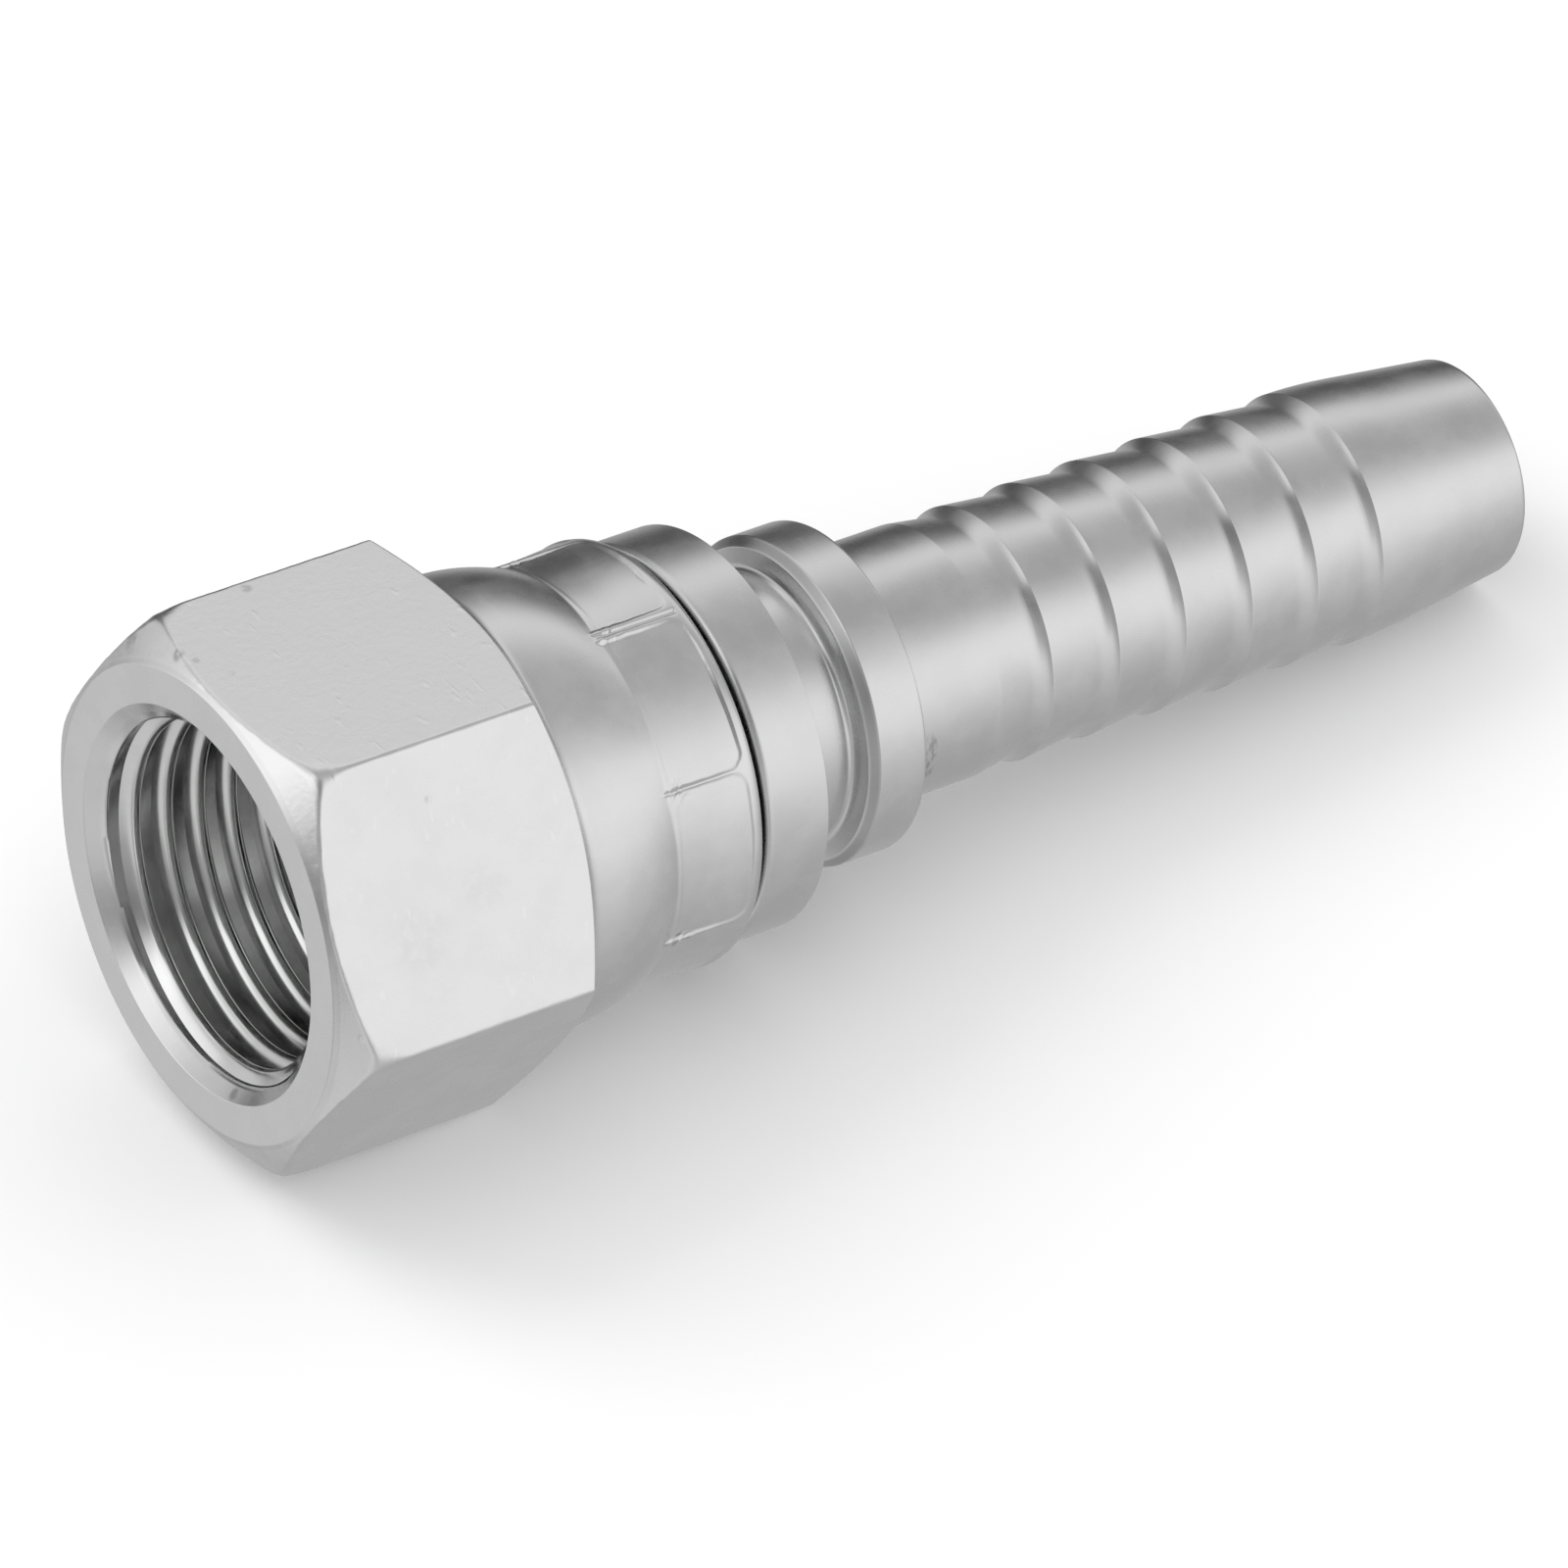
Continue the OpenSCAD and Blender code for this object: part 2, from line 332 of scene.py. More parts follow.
# %% Light tent
tent_radius = 1.5
tent_zones = [
    (0.20, 0.38, "around", front_panel, "MIX"),
    (-0.12, 0.04, "around", lens_side, "DARKEN"),
    (0.56, 0.74, "up_and_back", mouth_side, "MIX"),
    (0.90, 0.97, "up_and_back", opposite_mouth, "MIX"),
]


def tent_cloth():
    """Glowing cloth. A zone has two shares between which it comes in, a measure, a list and a kind."""
    material, nodes, links = new_material("tent_cloth")
    directions, out_of_mouth = tent_directions(nodes, links)
    cloth = brightness_ramp(nodes, links, directions["around"], back_half)
    for low, high, measure, stops, kind in tent_zones:
        share = share_between(nodes, links, out_of_mouth, low, high)
        zone = brightness_ramp(nodes, links, directions[measure], stops)
        cloth = laid_over(nodes, links, share, cloth, zone, kind)
    glow = add_node(nodes, "ShaderNodeEmission")
    links.new(cloth, glow.inputs["Color"])
    output = add_node(nodes, "ShaderNodeOutputMaterial")
    links.new(glow.outputs["Emission"], output.inputs["Surface"])
    material.cycles.emission_sampling = "NONE"
    return material


def make_tent():
    """A sphere of cloth that only reflections see."""
    mesh = bpy.data.meshes.new("light_tent")
    builder = bmesh.new()
    bmesh.ops.create_uvsphere(builder, u_segments=96, v_segments=48, radius=tent_radius)
    builder.to_mesh(mesh)
    builder.free()
    mesh.materials.append(tent_cloth())
    tent = link_object("light_tent", mesh)
    tent.visible_camera = False
    tent.visible_diffuse = False
    tent.visible_shadow = False
    tent.visible_transmission = False
    return tent


tent = make_tent()
floor.visible_glossy = False
key_lamp.visible_glossy = False
print("tent", tent.name, "across", round(tent.dimensions.x, 2), "m")

# %% [markdown]
# ## A rounded outline
#
# No machined edge is truly sharp: a break of a tenth of a millimetre is what catches the light along it.
# A bevel modifier could round the edges afterwards, but it gives them all one width unless each edge gets
# a weight. So every outline is given by its corners, each with the radius that the tool left, and a
# helper turns them into points: a short arc at each corner, and a guard point close beside each end of
# it, which keeps the faces between flat.

# %% Corners into a smooth outline
ARC_STEPS = 4
GUARD = 0.05
CORNER_ROOM = 0.45
STRAIGHT = 1e-4


def round_corner(before, corner, after, rounding):
    """The arc that replaces one corner of an outline, with a guard point on each side."""
    here = Vector(corner)
    inward, outward = (here - Vector(before)), (Vector(after) - here)
    room = CORNER_ROOM * min(inward.length, outward.length)
    inward.normalize()
    outward.normalize()
    turn = inward.angle(outward)
    if turn < STRAIGHT or rounding == 0:
        return [here]
    reach = min(rounding * math.tan(turn / 2), room)
    arc_radius = reach / math.tan(turn / 2)
    side = (outward - inward * inward.dot(outward)).normalized()
    first, last = here - inward * reach, here + outward * reach
    arc = []
    for i in range(ARC_STEPS + 1):
        angle = i / ARC_STEPS * turn
        along, rise = arc_radius * math.sin(angle), arc_radius * (1 - math.cos(angle))
        arc.append(first + inward * along + side * rise)
    guard = min(GUARD, reach)
    return [first - inward * guard] + arc + [last + outward * guard]


def outline_points(corners, closed=False):
    """Points of an outline whose corners are station, radius and rounding. Open ends stay as they are."""
    points = []
    count = len(corners)
    for i, (x, r, rounding) in enumerate(corners):
        if not closed and i in (0, count - 1):
            points.append(Vector((x, r)))
            continue
        before, after = corners[i - 1][:2], corners[(i + 1) % count][:2]
        points += round_corner(before, (x, r), after, rounding)
    return points


print("a square corner becomes", len(outline_points([(0, 0, 0), (1, 0, 0.1), (1, 1, 0)])) - 2, "points")

# %% [markdown]
# ## The tail
#
# The real tail is turned from one bar: head and seat inside the nut, neck, two collars with the ferrule
# groove between them, plain spigot, six barbs and a tapered tip, with a bore right through. It could be
# stacked up from cylinders and cones, but then its pieces would cross. One outline has no joints. Only
# the spigot and the collars show, but the head is what keeps the nut on, so it is here too.

# %% Sizes of the tail
head_front = 8.67
head_shoulder = 13.23
collar_front = 18.58
groove_front = 21.33
groove_rear = 24.33
hose_stop = 26.78
plain_end = hose_stop + 4.45

head = 6.9
seat = 6.2
tail_neck = 5.9
collar = 7.9
groove = 5.25
stop = 6.5
spigot = 5.05
flow_bore = 3.5
seat_depth = (seat - flow_bore) / math.tan(math.radians(37))
stop_chamfer = 0.36
print("head", 2 * head, "mm across, spigot", 2 * spigot, "mm, seat", round(seat_depth, 2), "mm deep")

# %% [markdown]
# ### The barbs
#
# A barb lets the hose slide on and bites when it is pulled. The hollow in front of each one follows the
# round nose of the form tool: it starts softly in the valley and ends in the crest with a sharp edge. A
# straight ramp would be simpler, but its highlight would be a plain line instead of the photograph's soft
# wedge.

# %% Outline of a barb
barb_count = 6
barb_pitch = 3.1
barb_depth = 0.23
first_peak = hose_stop + 6.9
peak_land = 0.06
peak_edge = 0.05
hollow_radius = 1.4
hollow_steps = 7
hollow_edge = 0.03
ramp_run = 0.12
ramp_rise = 0.012
last_peak = first_peak + (barb_count - 1) * barb_pitch


def barb_corners(index):
    """The ramp's foot, the hollow up to the peak, and the peak's narrow land."""
    peak = first_peak + index * barb_pitch
    valley = spigot - barb_depth
    hollow_end = math.acos(1 - barb_depth / hollow_radius)
    foot = peak - peak_land - hollow_radius * math.sin(hollow_end)
    corners = [(foot - ramp_run, valley + ramp_rise, 0)]
    for i in range(hollow_steps + 1):
        angle = hollow_end * i / hollow_steps
        along, rise = hollow_radius * math.sin(angle), hollow_radius * (1 - math.cos(angle))
        edge = hollow_edge if i == hollow_steps else 0
        corners.append((foot + along, valley + rise, edge))
    corners.append((peak, spigot, peak_edge))
    return corners


print("peaks from", round(first_peak, 2), "to", round(last_peak, 2), "mm")
print("a barb has", len(barb_corners(0)), "corners")

# %% [markdown]
# ### The nose
#
# Behind the last barb the spigot bends slowly into a taper, which guides the hose on. One corner with a
# small rounding would give a hard highlight, so the bend is an arc of its own with a large radius. The
# tip's edge is rounded, and the bore has a small chamfer.

# %% Outline of the nose
nose_blend = 22
nose_angle = math.radians(6.85)
nose_steps = 8
bore_chamfer = 0.2
bore_edge = 0.05


def nose_corners():
    """The slow bend behind the last peak, the straight taper to the tip, and the bore's chamfer."""
    corners = []
    for i in range(1, nose_steps + 1):
        angle = nose_angle * i / nose_steps
        along, fall = nose_blend * math.sin(angle), nose_blend * (1 - math.cos(angle))
        corners.append((last_peak + along, spigot - fall, 0))
    taper_end = corners[-1][1] - (tip - corners[-1][0]) * math.tan(nose_angle)
    corners.append((tip, taper_end, tip_round))
    corners.append((tip, flow_bore + bore_chamfer, bore_edge))
    corners.append((tip - bore_chamfer, flow_bore, bore_edge))
    return corners


print("tip", round(2 * nose_corners()[-3][1], 2), "mm across")

# %% [markdown]
# ### The whole outline
#
# The corners run as a turner's drawing lists them: from the bottom of the seat over the head, the neck
# and the collars to the spigot, then barb by barb to the tip. The last corner is in the bore, and the
# outline closes from there to the first. The third number of each is how round the tool left it. A curve
# could be drawn by hand instead, but numbers in a list can be checked against a drawing.

# %% Outline of the tail
def tail_corners():
    """The whole tail as corners of station, radius and rounding."""
    corners = [
        (head_front + seat_depth, flow_bore, 0.3),
        (head_front, seat, 0.1),
        (head_front, head, 0.15),
        (head_shoulder, head, 0.15),
        (head_shoulder + head - tail_neck, tail_neck, 0.1),
        (collar_front, tail_neck, 0.1),
        (collar_front, collar, 0.3),
        (groove_front, collar, 0.03),
        (groove_front, groove, 0.3),
        (groove_rear, groove, 0.3),
        (groove_rear, stop - stop_chamfer, 0.05),
        (groove_rear + stop_chamfer, stop, 0.08),
        (hose_stop, stop, 0.14),
        (hose_stop, spigot, 0.08),
        (plain_end, spigot, 0.6),
    ]
    for index in range(barb_count):
        corners += barb_corners(index)
    return corners + nose_corners()


tail_outline = outline_points(tail_corners(), closed=True)
print("tail outline", len(tail_outline), "points")

# %% [markdown]
# ### Carried round the axis
#
# A lathe makes one outline all the way round, and so does this: a ring of copies of the outline, with
# faces between each copy and the next. A screw modifier would do it too. A loop of our own also serves
# for the nut, where the outline changes with the angle, and it closes the mesh without a seam.

# %% Turn the tail
TAIL_COLUMNS = 256
MERGE = 2e-4
SLIVER = 1e-5


def shade_and_link(name, builder):
    """Turns a mesh in millimetres into a smooth shaded object in metres, with its faces outwards."""
    bmesh.ops.remove_doubles(builder, verts=builder.verts, dist=MERGE)
    bmesh.ops.dissolve_degenerate(builder, edges=builder.edges, dist=SLIVER)
    bmesh.ops.recalc_face_normals(builder, faces=builder.faces)
    for face in builder.faces:
        face.smooth = True
    open_edges = sum(1 for edge in builder.edges if not edge.is_manifold)
    bmesh.ops.scale(builder, vec=(MM, MM, MM), verts=builder.verts)
    mesh = bpy.data.meshes.new(name)
    builder.to_mesh(mesh)
    builder.free()
    triangles = sum(len(polygon.vertices) - 2 for polygon in mesh.polygons)
    print(name, len(mesh.vertices), "points,", triangles, "triangles,", open_edges, "open edges")
    return link_object(name, mesh)


def on_axis(x, r, angle):
    """The point at a station, a radius and an angle from straight up."""
    return (x, -r * math.sin(angle), r * math.cos(angle))


def revolve(name, outline, columns):
    """A closed outline carried once round the axis."""
    builder = bmesh.new()
    rings = []
    for j in range(columns):
        angle = 2 * math.pi * j / columns
        rings.append([builder.verts.new(on_axis(x, r, angle)) for x, r in outline])
    count = len(outline)
    for j in range(columns):
        here, there = rings[j], rings[(j + 1) % columns]
        for i in range(count):
            k = (i + 1) % count
            builder.faces.new((here[i], here[k], there[k], there[i]))
    return shade_and_link(name, builder)


tail = revolve("turned_tail", tail_outline, TAIL_COLUMNS)

# %% [markdown]
# ## The nut
#
# The nut is a length of hexagon bar that was bored, threaded, turned down to a barrel behind the flats,
# and then pressed down behind the tail's head by eight dies. It isn't round all over, so one outline
# isn't enough. Cutting it from solids with booleans would work, but leaves long thin faces that shade
# badly. So the mesh has one outline for each angle, a column, and all columns have the same number of
# points.

# %% Sizes of the nut
face_ring = 9.2
chamfer_slope = math.tan(math.radians(30))
mouth = 7.7
major_radius = 7.144
root = 7.1
crest = 6.62
thread_start = nut_face + mouth - major_radius
thread_end = 7.8
chamber = 7.05
crease = 14.43
skirt_end = 18.28
skirt = 8.35
skirt_bore = 6.05
neck = 8.85
neck_curve = 7.4
neck_crown = hex_rear + 1.55
print("thread from", round(thread_start, 2), "to", thread_end, "mm, skirt", 2 * skirt, "mm across")

# %% [markdown]
# ### Where the columns stand
#
# Even steps of 2 degrees are enough for the round parts. The hexagon's long edges and the seams between
# the dies are much narrower. A finer step all round would show them too, at many times the faces. So they
# get more columns close beside them, and they lie along the grid, which keeps them crisp.

# %% Columns of the nut
COLUMN_STEP = 2
CLOSEST = 0.1
hex_edges = [30 + 60 * i for i in range(6)]
beside_edge = (0, 0.13, 0.26, 0.4, 0.55, 0.8, 1.2)
die_count = 8
die_pitch = 360 / die_count
crimp_turn = 13
seams = [crimp_turn + die_pitch * i for i in range(die_count)]
beside_seam = (0, 0.35, 0.65, 0.95, 1.25, 1.6, 1.95, 2.3, 2.7, 3.3, 4.1, 5.1)


def nut_angles():
    """Angles of the columns in degrees, in order, with none too close to the one before."""
    angles = set(range(0, 360, COLUMN_STEP))
    for lines, offsets in ((hex_edges, beside_edge), (seams, beside_seam)):
        for line in lines:
            for offset in offsets:
                angles.add(round((line - offset) % 360, 3))
                angles.add(round((line + offset) % 360, 3))
    ordered = sorted(angles)
    kept = [ordered[0]]
    for angle in ordered[1:]:
        if angle - kept[-1] > CLOSEST:
            kept.append(angle)
    return kept


angles = nut_angles()
print(len(angles), "columns")

# %% [markdown]
# ### The hexagon's worn edges
#
# Plated bar has a small radius on its long edges, and handling wears it unevenly, most of all at the
# corners beside the face. A noise could move the points, but a few sine waves of different lengths are
# enough for wear, and they are the same on every run.

# %% Radius of the hexagon
edge_break = 0.24
edge_waver = 0.28
corner_wear = 3.3
corner_wear_at = -0.35
corner_wear_length = 0.75
half_side = math.radians(30)


def wavy(value, seed):
    """A gentle irregular wave between -1 and 1, for wear along an edge."""
    slow, quick = math.sin(value + seed), math.sin(2.3 * value + 1.7 * seed)
    return (slow + quick + math.sin(5.1 * value + 2.9 * seed)) / 3


def flat_radius(degrees, x):
    """Distance from the axis to the hexagon at an angle, with its long edges worn to a small radius."""
    from_edge = math.radians((degrees - 30) % 60)
    from_edge = min(from_edge, 2 * half_side - from_edge)
    edge_number = round((degrees - 30) / 60) % 6
    near_face = math.exp(-((x - corner_wear_at) / corner_wear_length) ** 2)
    worn = edge_break * (1 + edge_waver * wavy(2.4 * x, 3 * edge_number) + corner_wear * near_face)
    centre = (hex_flat - worn) / math.cos(half_side)
    across = centre * math.sin(from_edge)
    if across < worn / 2:
        return centre * math.cos(from_edge) + math.sqrt(worn ** 2 - across ** 2)
    return hex_flat / math.cos(half_side - from_edge)


print("over a long edge", round(flat_radius(30, hex_rear / 2), 3), "mm")
print("over a flat", flat_radius(0, 0), "mm")

# %% [markdown]
# ### The dies' prints
#
# Each die leaves a print: a patch a little flatter than the skirt, with round corners at the rear and a
# raised seam to its neighbour, where steel was squeezed up between the dies. The print could be sculpted.
# Here it is a depth that depends on how far a point lies inside a rounded window, so that one function
# gives all eight, and no two seams have the same width.

# %% Window of a print
die_radius = 9.5
die_depth = 0.18
print_end = skirt_end - 0.62
print_corner = 0.6
print_wall = 0.18
seam_half = [0.27, 0.05, 0.07, 0.12, 0.1, 0.14, 0.08, 0.11]
side_waver = 0.03
end_waver = 0.02


def nearest_seam(degrees):
    """The nearest seam's number, and the angle from it."""
    seam = round((degrees - crimp_turn) / die_pitch) % die_count
    return seam, (degrees - crimp_turn - die_pitch * seam + 180) % 360 - 180


def outside_print(x, from_middle, degrees):
    """How far a point lies outside its print's rounded window. Inside, it is negative."""
    seam, from_seam = nearest_seam(degrees)
    half_width = skirt * math.sin(math.radians(die_pitch / 2)) - seam_half[seam]
    half_width -= side_waver * wavy(3.1 * x, 5 * seam + (from_seam > 0))
    sideways = skirt * math.sin(abs(from_middle)) - (half_width - print_corner)
    rearwards = x - (print_end - print_corner) - end_waver * wavy(degrees / 4, seam)
    round_part = math.hypot(max(sideways, 0), max(rearwards, 0))
    return round_part + min(max(sideways, rearwards), 0) - print_corner


print("prints end at", round(print_end, 2), "mm")
print("seams are", 2 * min(seam_half), "to", 2 * max(seam_half), "mm wide")

# %% [markdown]
# ### How deep a print is
#
# A die is flatter than the skirt, so it presses deepest in its middle. Towards the rear the prints get
# shallower. At the crease the seams hold a little squeezed steel, and one wide seam has a fold in it. One
# even depth would be simpler, but it would shade like a flat cut. Every step between two heights is soft,
# because steel that flows has no sharp steps.

# %% Surface of the skirt
shallow_from = 15.6
shallow_share = 0.55
squeezed_height = 0.045
squeezed_limit = 0.03
squeezed_at = 14.8
squeezed_length = 0.5
squeezed_degrees = 3
fold_seam = 0
fold_depth = 0.1
fold_width = 0.1
mid_print = 16


def smooth_step(value):
    """Climbs softly from 0 to 1 while a value does the same evenly."""
    value = min(max(value, 0), 1)
    return value * value * (3 - 2 * value)


def skirt_radius(x, degrees):
    """The skirt with its prints, the steel squeezed up at the crease, and the fold in one seam."""
    seam, from_seam = nearest_seam(degrees)
    from_middle = math.radians((degrees - crimp_turn) % die_pitch - die_pitch / 2)
    centre = skirt - die_depth - die_radius
    aside = centre * math.sin(from_middle)
    pressed = centre * math.cos(from_middle) + math.sqrt(die_radius ** 2 - aside ** 2)
    share = smooth_step(0.5 - outside_print(x, from_middle, degrees) / print_wall)
    easing = 1 - shallow_share * smooth_step((x - shallow_from) / (print_end - shallow_from))
    near = math.exp(-((x - squeezed_at) / squeezed_length) ** 2)
    near *= math.exp(-(from_seam / squeezed_degrees) ** 2)
    squeezed = min(squeezed_height * near * wavy(13 * x + 1.6 * degrees, seam), squeezed_limit)
    radius = skirt + (pressed - skirt) * share * easing + squeezed
    if seam == fold_seam:
        radius -= fold_depth * math.exp(-(math.radians(from_seam) * skirt / fold_width) ** 2)
    return radius


seam_top = skirt_radius(mid_print, seams[1])
print("print depth", round(skirt - skirt_radius(mid_print, seams[1] + die_pitch / 2), 3), "mm")
print("seam height", round(seam_top - skirt_radius(mid_print, seams[1] + 3), 3), "mm")

# %% [markdown]
# ### Barrel and crease
#
# In front of the prints the nut is a convex barrel, and the dies stopped against it. The two surfaces
# meet in a crease. The larger of the two radii would give a hard line, so they are joined by a soft
# maximum, and a low lip stands where steel was pushed forward. One bump and one nick are the dents that
# the photograph shows beside the seams.

# %% Surface of the barrel
neck_reach = 16
crease_soft = 0.015
lip_height = 0.02
lip_at = 14.53
lip_length = 0.08
lip_depth = 0.15
dents = [
    (14.3, 13.5, 0.16, 1.4, -0.08),
    (17.55, -2, 0.07, 1.2, 0.04),
]


def neck_radius(x):
    """The barrel's convex outline, an arc whose crown is at its widest place."""
    return neck - neck_curve + math.sqrt(neck_curve ** 2 - (x - neck_crown) ** 2)


def dent_depth(x, degrees, dent):
    """How deep a small dent is here: station, angle, length, degrees and depth, below 0 for a bump."""
    station, angle, length, width, depth = dent
    from_angle = (degrees - angle + 180) % 360 - 180
    return depth * math.exp(-((x - station) / length) ** 2 - (from_angle / width) ** 2)


def barrel_radius(x, degrees):
    """Neck and skirt together, with a soft crease where they meet."""
    swell, pressed = neck_radius(min(x, neck_reach)), skirt_radius(x, degrees)
    radius = (swell + pressed + math.hypot(swell - pressed, crease_soft)) / 2
    lip = math.exp(-((x - lip_at) / lip_length) ** 2)
    radius += lip_height * lip * smooth_step((skirt - pressed) / lip_depth)
    return radius - sum(dent_depth(x, degrees, dent) for dent in dents)


print("barrel", round(barrel_radius(neck_crown, 0), 2), "mm")
print("skirt", round(barrel_radius(mid_print, 0), 2), "mm")

# %% [markdown]
# ### One column of the nut
#
# A column goes once round the section of the wall: through the chamber and the closed skirt to the rear
# end, forward over prints, crease and barrel, up the rear chamfer, along the flat, down the front chamfer
# to the face, and into the countersink. Even steps would be easier to write, but they would blur the
# crease or need many times the points. Every column needs the same number of points, so each stretch has
# a fixed number of rows, closer together where the surface turns.

# %% Rows inside the nut and along the barrel
NECK_ROWS = 12
PRINT_ROWS = 11
CREASE_ROWS = 22
CREASE_STEP = 0.05
CORNER_ROWS = 6
END_ROWS = 9
END_STEP = 0.04
FOOT_ROUNDS = 20
end_rounding = 0.5
skirt_run = 1.2
end_rows_from = skirt_end - 0.58
corner_rows_to = 16.9
crease_rows_from = 15.0
swell_clear = 0.75
lead = 0.12


def spaced(first, last, steps):
    """Stations strictly between two others."""
    return [first + (last - first) * i / steps for i in range(1, steps)]


def neck_foot():
    """Station where the rear chamfer meets the barrel, closer with each round."""
    x = hex_rear
    for _ in range(FOOT_ROUNDS):
        x = hex_rear + (hex_flat - neck_radius(x)) * chamfer_slope
    return x


def inner_outline():
    """From behind the thread through the chamber and the closed skirt to the nut's rear end."""
    corners = [
        (thread_end + lead, crest + lead, 0),
        (thread_end + chamber - crest, chamber, 0),
        (crease - (chamber - skirt_bore), chamber, 0),
        (crease, skirt_bore, 0),
        (skirt_end, skirt_bore, 0.15),
        (skirt_end, skirt, end_rounding),
        (skirt_end - skirt_run, skirt, 0),
    ]
    return outline_points(corners)[:-1]


def barrel_stations():
    """Stations from the skirt's rear edge to the hexagon's foot."""
    end_rows = [end_rows_from - END_STEP * i for i in range(END_ROWS)]
    corner = spaced(end_rows[-1], corner_rows_to, CORNER_ROWS)
    middle = spaced(corner_rows_to, crease_rows_from, PRINT_ROWS)
    crease_rows = [crease_rows_from - CREASE_STEP * i for i in range(CREASE_ROWS)]
    swell = spaced(crease_rows[-1], neck_foot() + swell_clear, NECK_ROWS)
    return end_rows + corner + [corner_rows_to] + middle + crease_rows + swell


print("inside", len(inner_outline()), "points, barrel", len(barrel_stations()), "rows")
print("the barrel starts at", round(neck_foot(), 2), "mm")

# %% [markdown]
# ### Chamfers and flats
#
# Both ends of the hexagon were chamfered at 30 degrees on a lathe. A cone cuts a hexagon in the curved
# scallops that every nut has. A boolean with a cone would cut them too. Here they come by themselves,
# because each column ends its flat where its own radius meets the cone. The front rim is worn unevenly,
# and most at the six corners.

# %% Rows along the hexagon
FLAT_ROWS = 40
FRONT_ROUNDS = 6
fillet = 0.55
fillet_run = 0.9
rim_zone = 0.6
rim_worn = 0.2
rim_waver = 0.09
rim_corner_worn = 0.35
rim_corner_degrees = 5


def chamfer_front(degrees):
    """Station where the front chamfer's cone meets the hexagon at an angle, closer with each round."""
    x = nut_face
    for _ in range(FRONT_ROUNDS):
        x = nut_face + (flat_radius(degrees, x) - face_ring) * chamfer_slope
    return x


def rim_rounding(degrees):
    """How round the front chamfer's rim is worn at an angle."""
    at_corner = math.exp(-((degrees % 60 - 30) / rim_corner_degrees) ** 2)
    return rim_worn + rim_waver * wavy(degrees / 4, 2) + rim_corner_worn * at_corner


def hexagon_outline(degrees):
    """From the neck over the rear chamfer, the flat and the front chamfer into the countersink."""
    foot = neck_foot()
    rear = hex_rear - (flat_radius(degrees, hex_rear) - hex_flat) * chamfer_slope
    front = chamfer_front(degrees)
    corners = [
        (foot + fillet_run, neck_radius(foot + fillet_run), 0),
        (foot, neck_radius(foot), fillet),
        (rear, flat_radius(degrees, rear), 0.12),
        (front, flat_radius(degrees, front), rim_rounding(degrees)),
        (nut_face, face_ring, 0.12),
        (nut_face, mouth, 0.06),
        (thread_start - lead, major_radius + lead, 0),
    ]
    rounded = outline_points(corners)
    front_first = next(i for i, p in enumerate(rounded) if p.x < front + rim_zone)
    before, after = rounded[front_first - 1], rounded[front_first]
    stations = [before.x + (after.x - before.x) * i / FLAT_ROWS for i in range(1, FLAT_ROWS)]
    along_flat = [Vector((x, flat_radius(degrees, x))) for x in stations]
    return rounded[1:front_first] + along_flat + rounded[front_first:]


print("hexagon", len(hexagon_outline(0)), "rows")
print("chamfer at a corner", round(chamfer_front(30) - nut_face, 2), "mm long")

# %% [markdown]
# ### The thread
#
# The thread is 9/16 inch with 18 turns to the inch, right-handed, with flat roots and softly worn crests.
# Rings of equal height would be easy to turn, but they aren't a thread: the eye follows the climb of each
# turn. So the rows climb with the helix, one pitch a turn, and every root corner lies along the grid. At
# the mouth the helix runs out through the countersink, and at the far end the tap's lead fades it away.

# %% Rows of the thread
THREAD_COLUMNS = 288
SNAP = 0.03
BESIDE_ROOT = (0, 0.09, 0.17)
BESIDE_CREST = (-0.05, 0.01, 0.07, 0.13)
thread_pitch = 1.411
flank_slope = math.tan(math.radians(30))
crest_share = 0.285
crest_round = 0.2
crest_station = -0.03
crest_angle = 224.56
crest_phase = crest_station - thread_pitch * crest_angle / 360
lead_turns = 1.5
flank_width = (root - crest) * flank_slope
groove_middle = crest_phase + thread_pitch * (1 + crest_share) / 2
groove_half = thread_pitch * (1 - crest_share) / 2
root_half = groove_half - flank_width


def thread_offsets():
    """Where the rows lie within one pitch, measured from the middle of the groove."""
    half = [root_half + step for step in BESIDE_ROOT]
    half += [groove_half + step for step in BESIDE_CREST]
    return sorted([0, thread_pitch / 2] + half + [-s for s in half])


def thread_radius(x, degrees):
    """Wall radius at a station and an angle: crest, flank and root, opened by the countersink."""
    turns = (x - groove_middle) / thread_pitch - degrees / 360
    aside = abs(turns - round(turns)) * thread_pitch
    wall = min(root - (aside - root_half) / flank_slope, root)
    wall = (wall + crest + math.hypot(wall - crest, crest_round)) / 2
    fade = smooth_step((thread_end - x) / (lead_turns * thread_pitch))
    countersink = mouth - (x - nut_face)
    return max(crest + (wall - crest) * fade, countersink, crest)


def thread_rows(offsets):
    """Stations of the rows at angle 0, from two pitches before the start to past the end."""
    first_turn = math.floor((thread_start - 2 * thread_pitch - groove_middle) / thread_pitch)
    turns = math.ceil((thread_end - thread_start) / thread_pitch) + 4
    middles = [groove_middle + thread_pitch * (first_turn + turn) for turn in range(turns)]
    return [middle + offset for middle in middles for offset in offsets]


def snapped(x):
    """Keeps a row inside the thread's length, and moves one that is very near an end onto it."""
    if x < thread_start + SNAP:
        return thread_start
    if x > thread_end - SNAP:
        return thread_end
    return x


offsets = thread_offsets()
rows = thread_rows(offsets)
rows_per_turn = len(offsets)
root_corners = [offsets.index(root_half), offsets.index(-root_half)]
print("thread", len(rows), "rows,", rows_per_turn, "a turn, depth", round(root - crest, 3), "mm")

